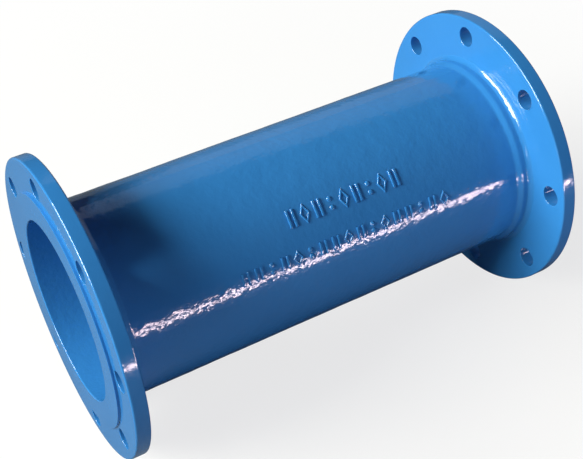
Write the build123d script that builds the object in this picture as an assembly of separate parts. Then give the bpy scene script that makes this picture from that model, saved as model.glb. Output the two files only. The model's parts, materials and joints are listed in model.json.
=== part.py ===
from build123d import *
import os

# A ductile iron pipe cast in one piece with a flange at each end, for a 200 mm water main at 10 bar.
# Sizes are in millimetres. It lies along X on the rims of its two flanges, with +Z up, and the
# origin is the middle of its bore.

# Barrel
overall_length = 550.0              # from raised face to raised face
bore_diameter = 204.0
barrel_wall = 9.0
bore_mouth_chamfer = 1.0            # where the bore meets a raised face

# Flanges
flange_thickness = 17.0             # of the disc, without its raised face
rim_chamfer = 1.5                   # both edges of the rim
raised_face_height = 3.0
gasket_width = 22.0                 # how far a raised face reaches out from the barrel's outside

# Bolt holes, which run in line through both flanges
bolt_count = 8
bolt_hole_diameter = 23.0
first_bolt_angle = 31.5             # from +Y towards +Z
hole_to_raised_face = 3.0           # metal between a hole and the raised face
hole_to_rim = 11.0                  # metal between a hole and the rim

# Hub: the wall thickens towards each flange and runs into its back with a fillet
hub_rise = 3.5
hub_land = 11.0                     # full thickness, next to the flange
hub_taper = 6.0
hub_fillet_radius = 4.0

# Parting lines: low ridges that the two halves of the mould leave along the barrel
parting_ridge_width = 5.0
parting_ridge_height = 0.7

# Diameters, from the bore outwards
barrel_diameter = bore_diameter + 2 * barrel_wall
hub_diameter = barrel_diameter + 2 * hub_rise
raised_face_diameter = barrel_diameter + 2 * gasket_width
bolt_circle_diameter = raised_face_diameter + bolt_hole_diameter + 2 * hole_to_raised_face
flange_diameter = bolt_circle_diameter + bolt_hole_diameter + 2 * hole_to_rim

# Stations along X, from the end inwards
end_x = overall_length / 2
flange_front_x = end_x - raised_face_height
flange_back_x = flange_front_x - flange_thickness
hub_top_x = flange_back_x - hub_land
hub_start_x = hub_top_x - hub_taper


def corners_at(section, x, diameter):
    # The section's two corners at this station and diameter, one at each end of the pipe.
    return [
        vertex
        for vertex in section.vertices()
        if abs(abs(vertex.X) - x) < 1e-6 and abs(vertex.Y - diameter / 2) < 1e-6
    ]


def wall_section():
    # The wall cut lengthwise, above the axis: one closed outline, the same at both ends.
    right_end = [
        (hub_start_x, barrel_diameter / 2),
        (hub_top_x, hub_diameter / 2),
        (flange_back_x, hub_diameter / 2),
        (flange_back_x, flange_diameter / 2),
        (flange_front_x, flange_diameter / 2),
        (flange_front_x, raised_face_diameter / 2),
        (end_x, raised_face_diameter / 2),
        (end_x, bore_diameter / 2),
    ]
    left_end = [(-x, radius) for x, radius in reversed(right_end)]
    section = make_face(Polyline(*right_end, *left_end, close=True))
    section = fillet(corners_at(section, flange_back_x, hub_diameter), hub_fillet_radius)
    section = chamfer(corners_at(section, flange_back_x, flange_diameter), rim_chamfer)
    section = chamfer(corners_at(section, flange_front_x, flange_diameter), rim_chamfer)
    return chamfer(corners_at(section, end_x, bore_diameter), bore_mouth_chamfer)


def parting_ridge(angle):
    # A shallow crown on the barrel, sunk to mid-wall below, whose ends run out in the hub tapers.
    side = parting_ridge_width / 2
    root = barrel_diameter / 2 - barrel_wall / 2
    edge = barrel_diameter / 2 - parting_ridge_height / 2
    crown = barrel_diameter / 2 + parting_ridge_height
    outline = ThreePointArc((-side, edge), (0, crown), (side, edge))
    outline += Polyline((side, edge), (side, root), (-side, root), (-side, edge))
    section = Plane.YZ * Rot(0, 0, angle - 90) * make_face(outline)
    return extrude(section, hub_top_x, both=True)


def bolt_holes():
    places = PolarLocations(bolt_circle_diameter / 2, bolt_count, start_angle=first_bolt_angle)
    return [Plane.YZ * place * Cylinder(bolt_hole_diameter / 2, overall_length) for place in places]


def double_flanged_pipe():
    # The mould parts on the line through two opposite bolt holes, next to the first one.
    parting_angle = first_bolt_angle + 360 / bolt_count
    pipe = revolve(wall_section(), Axis.X)
    pipe += parting_ridge(parting_angle)
    pipe += parting_ridge(parting_angle + 180)
    for hole in bolt_holes():
        pipe -= hole
    return pipe


os.makedirs("parts", exist_ok=True)
export_step(double_flanged_pipe(), "parts/double_flanged_pipe.step")
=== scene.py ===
import json
import math
import bmesh
import bpy
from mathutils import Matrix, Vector


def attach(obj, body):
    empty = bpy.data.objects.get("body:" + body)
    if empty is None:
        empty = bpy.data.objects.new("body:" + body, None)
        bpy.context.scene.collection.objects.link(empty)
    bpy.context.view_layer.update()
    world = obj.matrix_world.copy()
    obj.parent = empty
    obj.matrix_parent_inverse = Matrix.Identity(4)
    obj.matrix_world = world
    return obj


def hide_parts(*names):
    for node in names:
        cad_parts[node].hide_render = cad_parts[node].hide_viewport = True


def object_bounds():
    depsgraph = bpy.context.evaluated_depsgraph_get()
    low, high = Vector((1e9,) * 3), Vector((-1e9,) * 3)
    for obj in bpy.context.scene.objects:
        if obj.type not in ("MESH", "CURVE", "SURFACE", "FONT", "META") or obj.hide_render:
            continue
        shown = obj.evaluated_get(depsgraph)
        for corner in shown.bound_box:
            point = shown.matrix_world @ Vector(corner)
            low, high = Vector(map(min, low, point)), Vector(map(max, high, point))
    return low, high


# A blue epoxy-coated iron pipe with a flange at each end. Lengths are in metres unless a name ends
# in Mm. The pipe lies along X with the middle of its bore at the origin.
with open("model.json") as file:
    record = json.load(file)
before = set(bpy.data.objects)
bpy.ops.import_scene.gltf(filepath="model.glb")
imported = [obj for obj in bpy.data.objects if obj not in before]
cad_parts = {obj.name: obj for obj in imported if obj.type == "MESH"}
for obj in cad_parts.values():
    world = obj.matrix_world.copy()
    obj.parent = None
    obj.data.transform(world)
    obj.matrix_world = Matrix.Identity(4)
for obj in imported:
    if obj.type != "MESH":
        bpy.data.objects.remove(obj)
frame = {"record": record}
cadLow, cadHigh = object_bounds()

millimetre = 0.001
samePlace = 0.00002                 # points nearer than this are at one station or radius
nearEnough = 0.0001                 # and this allows for the flat sides of drilled holes
mounts = {mount["name"]: mount for mount in frame["record"]["mounts"]}
boltMount = mounts["right_flange_bolts"]


def linear(hexColour):
    # sRGB hex to the linear RGBA that shader sockets take
    channels = [int(hexColour[start:start + 2], 16) / 255 for start in (1, 3, 5)]
    return [c / 12.92 if c <= 0.04045 else ((c + 0.055) / 1.055) ** 2.4 for c in channels] + [1.0]


def addNode(tree, kind, settings=None, inputs=None):
    # one node, with its settings, and each input either set or linked
    node = tree.nodes.new(kind)
    for name, value in (settings or {}).items():
        setattr(node, name, value)
    for name, value in (inputs or {}).items():
        if isinstance(value, bpy.types.NodeSocket):
            tree.links.new(value, node.inputs[name])
        else:
            node.inputs[name].default_value = value
    return node


def newMaterial(name):
    material = bpy.data.materials.new(name)
    material.use_nodes = True
    material.node_tree.nodes.clear()
    return material, material.node_tree


def radiusOf(point):
    return math.hypot(point.y, point.z)


def isAcross(edge):
    # the edge lies in one plane across the axis
    return abs(edge.verts[0].co.x - edge.verts[1].co.x) < samePlace


def selectEdges(piece, wanted):
    # in edit mode: select the edges that the test picks and nothing else
    mesh = bmesh.from_edit_mesh(piece.data)
    bpy.ops.mesh.select_mode(type="EDGE")
    bpy.ops.mesh.select_all(action="DESELECT")
    for edge in mesh.edges:
        edge.select_set(wanted(edge))
    bmesh.update_edit_mesh(piece.data)


def applyModifiers(piece):
    bpy.ops.object.select_all(action="DESELECT")
    bpy.context.view_layer.objects.active = piece
    piece.select_set(True)
    for modifier in list(piece.modifiers):
        bpy.ops.object.modifier_apply(modifier=modifier.name)


pipe = {
    "barrelWall": 0.009,
    "hubRise": 0.0035,
    "hubLand": 0.011,
    "hubTaper": 0.006,
    "flangeThickness": 0.017,
    "gasketWidth": 0.022,
    "firstBoltAngle": 31.5,         # degrees from +Y towards +Z
    "rimRounding": 0.002,
    "faceRounding": 0.0008,
    "boreRounding": 0.0015,
    "hubFillet": 0.0055,
    "filletProfile": 0.33,          # flatter in the middle than an arc
    "taperBlend": 0.0016,
    "holeRounding": 0.0008,
    "turns": 288,                   # segments round the axis
    "barrelCuts": (99, 1),          # rings along the barrel, for its lumps
    "waveHeight": 0.0005,           # slow waves of the cast wall
    "waveMm": 90,
    "lumpHeight": 0.0004,           # lumps left by the sand of the mould
    "lumpMm": 16,
    "lumpRunOut": 0.012,            # over which both fade towards a hub
    "partingWidth": 0.008,
    "partingHeight": 0.0005,
}


def pipeStations():
    # distances along the axis and radii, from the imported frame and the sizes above
    endX = cadHigh.x
    faceX = boltMount["pos_m"][0]
    backX = faceX - pipe["flangeThickness"]
    landX = backX - pipe["hubLand"]
    boreR = mounts["bore"]["dims"]["r_mm"] * millimetre
    barrelR = boreR + pipe["barrelWall"]
    return {
        "endX": endX,
        "faceX": faceX,
        "backX": backX,
        "landX": landX,
        "taperX": landX - pipe["hubTaper"],
        "boreR": boreR,
        "barrelR": barrelR,
        "hubR": barrelR + pipe["hubRise"],
        "gasketR": barrelR + pipe["gasketWidth"],
        "rimR": min(cadHigh.y, cadHigh.z),
    }


def drawOutline(points):
    # a closed outline in the XZ plane, drawn by extruding one vertex from point to point
    bpy.ops.object.select_all(action="DESELECT")
    bpy.ops.mesh.primitive_plane_add(size=0.01)
    piece = bpy.context.object
    bpy.ops.object.mode_set(mode="EDIT")
    bpy.ops.mesh.select_all(action="SELECT")
    bpy.ops.mesh.merge(type="CENTER")
    bpy.ops.transform.translate(value=points[0])
    for start, end in zip(points, points[1:]):
        bpy.ops.mesh.extrude_region_move(TRANSFORM_OT_translate={"value": end - start})
    bpy.ops.mesh.select_all(action="DESELECT")
    mesh = bmesh.from_edit_mesh(piece.data)
    for vertex in mesh.verts:
        if min((vertex.co - end).length for end in (points[0], points[-1])) < samePlace:
            vertex.select_set(True)
    bmesh.update_edit_mesh(piece.data)
    bpy.ops.mesh.edge_face_add()
    bpy.ops.object.mode_set(mode="OBJECT")
    return piece


def roundRings(piece, x, radius, size, segments, profile=0.5):
    # bevels the two rings at this station and radius, one at each end of the pipe
    selectEdges(piece, lambda edge: isAcross(edge) and all(
        abs(abs(vertex.co.x) - x) < samePlace and abs(radiusOf(vertex.co) - radius) < samePlace
        for vertex in edge.verts))
    bpy.ops.mesh.bevel(offset=size, offset_type="OFFSET", segments=segments, profile=profile,
                       affect="EDGES")


def boltPlaces():
    circle = boltMount["dims"]["pcd_mm"] / 2 * millimetre
    count = boltMount["dims"]["count"]
    places = []
    for number in range(count):
        angle = math.radians(pipe["firstBoltAngle"] + number * 360 / count)
        places.append(Vector((0, circle * math.cos(angle), circle * math.sin(angle))))
    return places


def drillBoltHoles(piece, holeR):
    # one long cutter for each pair of holes, through both flanges
    cutters = []
    for place in boltPlaces():
        bpy.ops.object.select_all(action="DESELECT")
        bpy.ops.mesh.primitive_cylinder_add(vertices=48, radius=holeR, depth=cadHigh.x * 2.4,
                                            location=place, rotation=(0, math.pi / 2, 0))
        cutters.append(bpy.context.object)
    for cutter in cutters:
        cutter.select_set(True)
    bpy.ops.object.join()
    drill = bpy.context.object
    cut = piece.modifiers.new("boltHoles", "BOOLEAN")
    cut.operation = "DIFFERENCE"
    cut.solver = "EXACT"
    cut.object = drill
    applyModifiers(piece)
    bpy.data.objects.remove(drill)


def roundHoleMouths(piece, at, holeR):
    places = boltPlaces()

    def onMouth(vertex):
        if min(abs(abs(vertex.co.x) - at["faceX"]), abs(abs(vertex.co.x) - at["backX"])) > samePlace:
            return False
        flat = Vector((0, vertex.co.y, vertex.co.z))
        return min(abs((flat - place).length - holeR) for place in places) < nearEnough

    selectEdges(piece, lambda edge: isAcross(edge) and all(onMouth(vertex) for vertex in edge.verts))
    bpy.ops.mesh.bevel(offset=pipe["holeRounding"], offset_type="OFFSET", segments=3, profile=0.5,
                       affect="EDGES")


def divideBarrel(piece, at):
    # rings along the barrel, in two goes because one subdivide makes no more than 100 cuts
    longEnough = 2 * at["taperX"] * 0.9
    for cuts in pipe["barrelCuts"]:
        selectEdges(piece, lambda edge: edge.calc_length() > longEnough and not isAcross(edge) and all(
            abs(radiusOf(vertex.co) - at["barrelR"]) < nearEnough for vertex in edge.verts))
        bpy.ops.mesh.subdivide(number_cuts=cuts)
        longEnough /= cuts + 1


def weighBarrel(piece, at):
    # vertex groups: how much each point takes of the casting's lumps and of the parting ridges
    lumps = piece.vertex_groups.new(name="castLumps")
    ridges = piece.vertex_groups.new(name="partingRidges")
    partingAngle = math.radians(pipe["firstBoltAngle"] + 360 / boltMount["dims"]["count"])
    for vertex in piece.data.vertices:
        if abs(radiusOf(vertex.co) - at["barrelR"]) > nearEnough:
            continue
        inside = at["taperX"] - abs(vertex.co.x)
        if inside < 0:
            continue
        lumps.add([vertex.index], min(1, inside / pipe["lumpRunOut"]), "REPLACE")
        turn = (math.atan2(vertex.co.z, vertex.co.y) - partingAngle) % math.pi
        away = min(turn, math.pi - turn) * at["barrelR"] / (pipe["partingWidth"] / 2)
        if away < 1:
            ridges.add([vertex.index], 0.5 + 0.5 * math.cos(math.pi * away), "REPLACE")


def pushOut(piece, name, group, height, waveMm=None, depth=2):
    # a Displace modifier on one vertex group, even or with a cloud pattern of this wavelength
    push = piece.modifiers.new(name, "DISPLACE")
    push.vertex_group = group
    push.direction = "NORMAL"
    push.strength = height
    push.mid_level = 0.0
    if waveMm:
        clouds = bpy.data.textures.new(name, "CLOUDS")
        clouds.noise_scale = waveMm * millimetre
        clouds.noise_depth = depth
        push.texture = clouds
        push.texture_coords = "LOCAL"
        push.mid_level = 0.5


def buildPipe():
    at = pipeStations()
    half = [
        (at["taperX"], at["barrelR"]),
        (at["landX"], at["hubR"]),
        (at["backX"], at["hubR"]),
        (at["backX"], at["rimR"]),
        (at["faceX"], at["rimR"]),
        (at["faceX"], at["gasketR"]),
        (at["endX"], at["gasketR"]),
        (at["endX"], at["boreR"]),
    ]
    points = [Vector((-x, 0, r)) for x, r in reversed(half)] + [Vector((x, 0, r)) for x, r in half]
    piece = drawOutline(points)
    piece.name = "castPipe"
    bpy.ops.object.mode_set(mode="EDIT")
    bpy.ops.mesh.select_all(action="SELECT")
    bpy.ops.mesh.spin(steps=pipe["turns"], angle=math.tau, center=(0, 0, 0), axis=(1, 0, 0))
    bpy.ops.mesh.select_all(action="SELECT")
    bpy.ops.mesh.remove_doubles(threshold=1e-6)
    bpy.ops.mesh.normals_make_consistent(inside=False)
    roundRings(piece, at["backX"], at["rimR"], pipe["rimRounding"], 4)
    roundRings(piece, at["faceX"], at["rimR"], pipe["rimRounding"], 4)
    roundRings(piece, at["endX"], at["gasketR"], pipe["faceRounding"], 2)
    roundRings(piece, at["endX"], at["boreR"], pipe["boreRounding"], 3)
    roundRings(piece, at["backX"], at["hubR"], pipe["hubFillet"], 7, pipe["filletProfile"])
    roundRings(piece, at["landX"], at["hubR"], pipe["taperBlend"], 3)
    roundRings(piece, at["taperX"], at["barrelR"], pipe["taperBlend"], 3)
    bpy.ops.object.mode_set(mode="OBJECT")
    print("outline spun and its rings rounded:", len(piece.data.polygons), "faces")

    holeR = boltMount["dims"]["hole_r_mm"] * millimetre
    drillBoltHoles(piece, holeR)
    bpy.ops.object.mode_set(mode="EDIT")
    roundHoleMouths(piece, at, holeR)
    print("bolt holes drilled:", boltMount["dims"]["count"], "in each flange")

    divideBarrel(piece, at)
    bpy.ops.object.mode_set(mode="OBJECT")
    weighBarrel(piece, at)
    pushOut(piece, "wallWander", "castLumps", pipe["waveHeight"], pipe["waveMm"])
    pushOut(piece, "sandLumps", "castLumps", pipe["lumpHeight"], pipe["lumpMm"], depth=1)
    pushOut(piece, "partingRidge", "partingRidges", pipe["partingHeight"])
    applyModifiers(piece)
    bpy.ops.object.shade_smooth_by_angle(angle=math.radians(35))
    even = piece.modifiers.new("flatFaces", "WEIGHTED_NORMAL")
    even.keep_sharp = True
    even.weight = 80
    applyModifiers(piece)
    print("barrel lumps and parting ridges made:", len(piece.data.polygons), "faces")
    return piece


marks = {
    "height": 0.0016,               # above the barrel
    "sunk": 0.0012,                 # below it, so that no gap shows over the lumps
    "stroke": 0.0030,
    "edge": 0.0007,
    "barGap": 0.0064,               # between the middles of two bars
    "lozengeWidth": 0.0096,
    "lozengeTall": 0.88,            # share of the row's height
    "lozengeRise": 0.9,             # share of the stroke's half width
    "dotGap": 0.5,                  # share of the row's height, between the middles of two dots
    # angles are in degrees from +Y towards +Z
    "upperRow": {"angle": 131.5, "start": -0.041, "pitch": 0.0160, "tall": 0.0195,
                 "pattern": ["bars", "lozenge", "bars", "dots", "lozenge", "bars", "dots", "lozenge",
                             "bars"]},
    "lowerRow": {"angle": 153.0, "start": -0.109, "pitch": 0.0155, "tall": 0.0150,
                 "pattern": ["bars", "bars", "dots", "bars", "lozenge", "dots", "bars", "bars", "lozenge",
                             "bars", "dots", "lozenge", "bars", "bars", "dots", "bars", "lozenge"]},
}


def flatBar(x, tall):
    bpy.ops.object.select_all(action="DESELECT")
    bpy.ops.mesh.primitive_cube_add(size=1, location=(x, 0, 0), scale=(marks["stroke"], tall, 1))
    bar = bpy.context.object
    bpy.ops.object.transform_apply(location=True, rotation=True, scale=True)
    for vertex in bar.data.vertices:
        vertex.co.z = marks["height"] if vertex.co.z > 0 else -marks["sunk"]
    bpy.ops.object.mode_set(mode="EDIT")
    bpy.ops.mesh.select_all(action="SELECT")
    bpy.ops.mesh.bevel(offset=marks["edge"], segments=3, profile=0.5, affect="EDGES")
    bpy.ops.object.mode_set(mode="OBJECT")
    return bar


def flatLozenge(x, tall):
    # a four-sided ring, stretched across the row
    bpy.ops.object.select_all(action="DESELECT")
    bpy.ops.mesh.primitive_torus_add(location=(x, 0, 0), major_segments=4, minor_segments=10,
                                     major_radius=marks["lozengeWidth"] / 2,
                                     minor_radius=marks["stroke"] / 2)
    ring = bpy.context.object
    ring.scale = (1, tall / marks["lozengeWidth"] * marks["lozengeTall"], marks["lozengeRise"])
    bpy.ops.object.transform_apply(location=True, rotation=True, scale=True)
    return ring


def flatDot(x, y):
    bpy.ops.object.select_all(action="DESELECT")
    bpy.ops.mesh.primitive_uv_sphere_add(segments=20, ring_count=12, location=(x, y, 0),
                                         radius=marks["stroke"])
    dot = bpy.context.object
    dot.scale = (1, 1, marks["height"] / marks["stroke"])
    bpy.ops.object.transform_apply(location=True, rotation=True, scale=True)
    return dot


def buildMarkRow(name, row, barrelR):
    parts = []
    for number, kind in enumerate(row["pattern"]):
        x = row["start"] + number * row["pitch"]
        if kind == "bars":
            parts.append(flatBar(x - marks["barGap"] / 2, row["tall"]))
            parts.append(flatBar(x + marks["barGap"] / 2, row["tall"]))
        elif kind == "lozenge":
            parts.append(flatLozenge(x, row["tall"]))
        else:
            parts.append(flatDot(x, -row["tall"] * marks["dotGap"] / 2))
            parts.append(flatDot(x, row["tall"] * marks["dotGap"] / 2))
    bpy.ops.object.select_all(action="DESELECT")
    for part in parts:
        part.select_set(True)
    bpy.context.view_layer.objects.active = parts[0]
    bpy.ops.object.join()
    piece = bpy.context.object
    piece.name = name
    bpy.ops.object.mode_set(mode="EDIT")
    bpy.ops.mesh.select_all(action="SELECT")
    bpy.ops.mesh.subdivide(number_cuts=2)
    bpy.ops.object.mode_set(mode="OBJECT")
    middle = math.radians(row["angle"])
    for vertex in piece.data.vertices:      # wrapped on to the barrel
        angle = middle + vertex.co.y / barrelR
        radius = barrelR + vertex.co.z
        vertex.co = (vertex.co.x, radius * math.cos(angle), radius * math.sin(angle))
    bpy.ops.object.mode_set(mode="EDIT")
    bpy.ops.mesh.select_all(action="SELECT")
    bpy.ops.mesh.normals_make_consistent(inside=False)
    bpy.ops.object.mode_set(mode="OBJECT")
    bpy.ops.object.shade_smooth_by_angle(angle=math.radians(40))
    return piece


coat = {
    "blue": "#3481CA",
    "deepBlue": "#2D77BF",          # where the coat is thicker
    "roughness": 0.12,
    "roughnessSpread": 0.04,        # to either side, with the orange peel
    "ior": 1.5,
    "clearTop": 0.6,
    "clearRoughness": 0.06,
    "cloudMm": 70,                  # how far apart the two blues lie
    "castPeel": 0.6,                # strength of the orange peel on the rough casting
    "machinedPeel": 0.25,           # and on the turned flanges
    "machinedFrom": 0.118,          # radius at which the turned surfaces start
    "machinedBlend": 0.002,
    "peelMm": 6,
    "peelDepthMm": 0.6,
    "grain": 0.25,                  # sand grain, on all of it
    "grainMm": 1.6,
    "grainDepthMm": 0.12,
    "noiseSpan": (0.3, 0.7),        # where nearly all of a noise texture's values lie
}


def epoxyCoat():
    # Fusion-bonded epoxy, sprayed as powder on hot cast iron: an even strong blue with a wet gloss,
    # orange peel a few millimetres across, and the sand grain of the casting faintly below it.
    material, tree = newMaterial("fusionBondedEpoxyBlue")
    place = addNode(tree, "ShaderNodeTexCoord").outputs["Object"]
    clouds = addNode(tree, "ShaderNodeTexNoise",
                     inputs={"Vector": place, "Scale": 1 / (coat["cloudMm"] * millimetre), "Detail": 3.0})
    tint = addNode(tree, "ShaderNodeMix", {"data_type": "RGBA"},
                   {"Factor": clouds.outputs["Fac"]})
    tint.inputs[6].default_value = linear(coat["blue"])
    tint.inputs[7].default_value = linear(coat["deepBlue"])
    peel = addNode(tree, "ShaderNodeTexNoise",
                   inputs={"Vector": place, "Scale": 1 / (coat["peelMm"] * millimetre), "Detail": 2.0})
    grain = addNode(tree, "ShaderNodeTexNoise",
                    inputs={"Vector": place, "Scale": 1 / (coat["grainMm"] * millimetre), "Detail": 2.0})
    lowest, highest = coat["noiseSpan"]
    sheen = addNode(tree, "ShaderNodeMapRange",
                    inputs={"Value": peel.outputs["Fac"], "From Min": lowest, "From Max": highest,
                            "To Min": coat["roughness"] - coat["roughnessSpread"],
                            "To Max": coat["roughness"] + coat["roughnessSpread"]})
    across = addNode(tree, "ShaderNodeVectorMath", {"operation": "MULTIPLY"}, {0: place, 1: (0, 1, 1)})
    radius = addNode(tree, "ShaderNodeVectorMath", {"operation": "LENGTH"}, {0: across.outputs["Vector"]})
    peelDepth = addNode(tree, "ShaderNodeMapRange",
                        inputs={"Value": radius.outputs["Value"],
                                "From Min": coat["machinedFrom"] - coat["machinedBlend"],
                                "From Max": coat["machinedFrom"] + coat["machinedBlend"],
                                "To Min": coat["castPeel"], "To Max": coat["machinedPeel"]})
    peelBump = addNode(tree, "ShaderNodeBump",
                       inputs={"Height": peel.outputs["Fac"], "Strength": peelDepth.outputs["Result"],
                               "Distance": coat["peelDepthMm"] * millimetre})
    grainBump = addNode(tree, "ShaderNodeBump",
                        inputs={"Height": grain.outputs["Fac"], "Strength": coat["grain"],
                                "Distance": coat["grainDepthMm"] * millimetre,
                                "Normal": peelBump.outputs["Normal"]})
    shader = addNode(tree, "ShaderNodeBsdfPrincipled",
                     inputs={"Base Color": tint.outputs[2], "Roughness": sheen.outputs["Result"],
                             "IOR": coat["ior"], "Coat Weight": coat["clearTop"],
                             "Coat Roughness": coat["clearRoughness"], "Coat IOR": coat["ior"],
                             "Normal": grainBump.outputs["Normal"],
                             "Coat Normal": peelBump.outputs["Normal"]})
    addNode(tree, "ShaderNodeOutputMaterial", inputs={"Surface": shader.outputs["BSDF"]})
    return material


studio = {
    "floorSize": 60.0,
    "floorGloss": "#606A78",        # the floor, as the coat's gloss shows it
    "floorBounce": "#7C7C7C",       # the soft light that it gives back
    "backdrop": "#FFFFFF",          # the floor and the room behind, as the camera sees them
    "floorPaint": "#F0F0F4",        # the paint on which the camera sees the shadow
    "shadowShare": 0.24,            # how much of the object's shadow the camera sees
    "shadowReach": (0.5, 1.15),     # where the shading starts to fade and where plain white is left
    "roomLight": 0.03,
}

# azimuth is from -Y towards +X and elevation up from the floor, in degrees
lamps = {
    "sideWindow": {"azimuth": -90, "elevation": 28, "distance": 8.0, "size": (3.2, 3.0), "watts": 840,
                   "colour": "#FFFFF0", "mirrored": True},
    "rearWindow": {"azimuth": -118, "elevation": 29, "distance": 8.0, "size": (3.2, 3.0), "watts": 560,
                   "colour": "#FFFFF0", "mirrored": True},
    "lowWindow": {"azimuth": -54, "elevation": 8, "distance": 8.0, "size": (1.3, 1.3), "watts": 18,
                  "colour": "#F4F8FF", "mirrored": True},
    "backFill": {"azimuth": 140, "elevation": 20, "distance": 5.0, "size": (5.0, 4.0), "watts": 17,
                 "colour": "#E6F0FF", "mirrored": True},
    "frontFill": {"azimuth": 30, "elevation": 38, "distance": 5.0, "size": (2.4, 2.4), "watts": 12,
                  "colour": "#C8DAFF", "mirrored": False},
    "endFill": {"azimuth": 90, "elevation": 0, "distance": 5.0, "size": (1.2, 1.2), "watts": 100,
                "colour": "#F0F5FF", "mirrored": False},
    "tubeLamp": {"azimuth": 18.5, "elevation": -2.5, "distance": 1.27, "size": (1.05, 0.055), "watts": 4.8,
                 "colour": "#FAE4EA", "mirrored": True},
}

view = {"azimuth": -30.28, "elevation": 43.58, "distance": 1.307, "aim": (-0.0016, -0.0063, -0.0066),
        "lens": 70.73}


def buildFloor():
    # Matt white paint. The camera sees it as plain white with a soft shadow under the pipe, while the
    # coat's gloss and the bounced light get the quieter greys.
    bpy.ops.object.select_all(action="DESELECT")
    bpy.ops.mesh.primitive_plane_add(size=studio["floorSize"], location=(0, 0, cadLow.z))
    floor = bpy.context.object
    floor.name = "floor"
    bpy.ops.object.transform_apply(location=True, rotation=True, scale=True)
    material, tree = newMaterial("paintedStudioFloor")
    ray = addNode(tree, "ShaderNodeLightPath").outputs
    shine = addNode(tree, "ShaderNodeMix", {"data_type": "RGBA"})
    tree.links.new(ray["Is Diffuse Ray"], shine.inputs["Factor"])
    shine.inputs[6].default_value = linear(studio["floorGloss"])
    shine.inputs[7].default_value = linear(studio["floorBounce"])
    matt = addNode(tree, "ShaderNodeBsdfDiffuse", inputs={"Color": shine.outputs[2]})
    shadow = addNode(tree, "ShaderNodeBsdfDiffuse", inputs={"Color": linear(studio["floorPaint"])})
    white = addNode(tree, "ShaderNodeEmission",
                    inputs={"Color": linear(studio["backdrop"]), "Strength": 1.0})
    place = addNode(tree, "ShaderNodeTexCoord").outputs["Object"]
    away = addNode(tree, "ShaderNodeVectorMath", {"operation": "LENGTH"}, {0: place})
    near, far = studio["shadowReach"]
    fade = addNode(tree, "ShaderNodeMapRange", {"interpolation_type": "SMOOTHSTEP"},
                   {"Value": away.outputs["Value"], "From Min": near, "From Max": far,
                    "To Min": studio["shadowShare"], "To Max": 0.0})
    seen = addNode(tree, "ShaderNodeMixShader", inputs={"Fac": fade.outputs["Result"]})
    tree.links.new(white.outputs["Emission"], seen.inputs[1])
    tree.links.new(shadow.outputs["BSDF"], seen.inputs[2])
    both = addNode(tree, "ShaderNodeMixShader", inputs={"Fac": ray["Is Camera Ray"]})
    tree.links.new(matt.outputs["BSDF"], both.inputs[1])
    tree.links.new(seen.outputs["Shader"], both.inputs[2])
    addNode(tree, "ShaderNodeOutputMaterial", inputs={"Surface": both.outputs["Shader"]})
    floor.data.materials.append(material)


def buildWorld():
    # a dim even room for the pipe, and plain white for the camera
    world = bpy.data.worlds.new("studioRoom")
    world.use_nodes = True
    tree = world.node_tree
    tree.nodes.clear()
    ray = addNode(tree, "ShaderNodeLightPath").outputs
    room = addNode(tree, "ShaderNodeBackground",
                   inputs={"Color": linear(studio["backdrop"]), "Strength": studio["roomLight"]})
    white = addNode(tree, "ShaderNodeBackground",
                    inputs={"Color": linear(studio["backdrop"]), "Strength": 1.0})
    both = addNode(tree, "ShaderNodeMixShader", inputs={"Fac": ray["Is Camera Ray"]})
    tree.links.new(room.outputs["Background"], both.inputs[1])
    tree.links.new(white.outputs["Background"], both.inputs[2])
    addNode(tree, "ShaderNodeOutputWorld", inputs={"Surface": both.outputs["Shader"]})
    bpy.context.scene.world = world


def towards(azimuth, elevation):
    azimuth, elevation = math.radians(azimuth), math.radians(elevation)
    return Vector((math.sin(azimuth) * math.cos(elevation), -math.cos(azimuth) * math.cos(elevation),
                   math.sin(elevation)))


def addLamps():
    for name, lamp in lamps.items():
        data = bpy.data.lights.new(name, "AREA")
        data.shape = "RECTANGLE"
        data.size, data.size_y = lamp["size"]
        data.energy = lamp["watts"]
        data.color = linear(lamp["colour"])[:3]
        holder = bpy.data.objects.new(name, data)
        out = towards(lamp["azimuth"], lamp["elevation"])
        holder.location = out * lamp["distance"]
        holder.rotation_mode = "QUATERNION"
        holder.rotation_quaternion = (-out).to_track_quat("-Z", "Y")
        holder.visible_camera = False
        holder.visible_glossy = lamp["mirrored"]
        bpy.context.collection.objects.link(holder)


def addCamera():
    back = towards(view["azimuth"], view["elevation"])
    data = bpy.data.cameras.new("studioCamera")
    data.lens = view["lens"]
    camera = bpy.data.objects.new("studioCamera", data)
    camera.location = Vector(view["aim"]) + back * view["distance"]
    camera.rotation_mode = "QUATERNION"
    camera.rotation_quaternion = (-back).to_track_quat("-Z", "Y")
    bpy.context.collection.objects.link(camera)
    bpy.context.scene.camera = camera


stations = pipeStations()
castPipe = buildPipe()
upperMarks = buildMarkRow("upperMarks", marks["upperRow"], stations["barrelR"])
lowerMarks = buildMarkRow("lowerMarks", marks["lowerRow"], stations["barrelR"])
print("foundry marks raised:", len(marks["upperRow"]["pattern"]) + len(marks["lowerRow"]["pattern"]))

epoxy = epoxyCoat()
for piece in (castPipe, upperMarks, lowerMarks):
    piece.data.materials.clear()
    piece.data.materials.append(epoxy)
    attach(piece, "root")
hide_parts("double_flanged_pipe")

buildFloor()
buildWorld()
addLamps()
addCamera()
bpy.context.scene.view_settings.view_transform = "Standard"
print("floor, room and camera set up, with lamps:", len(lamps))
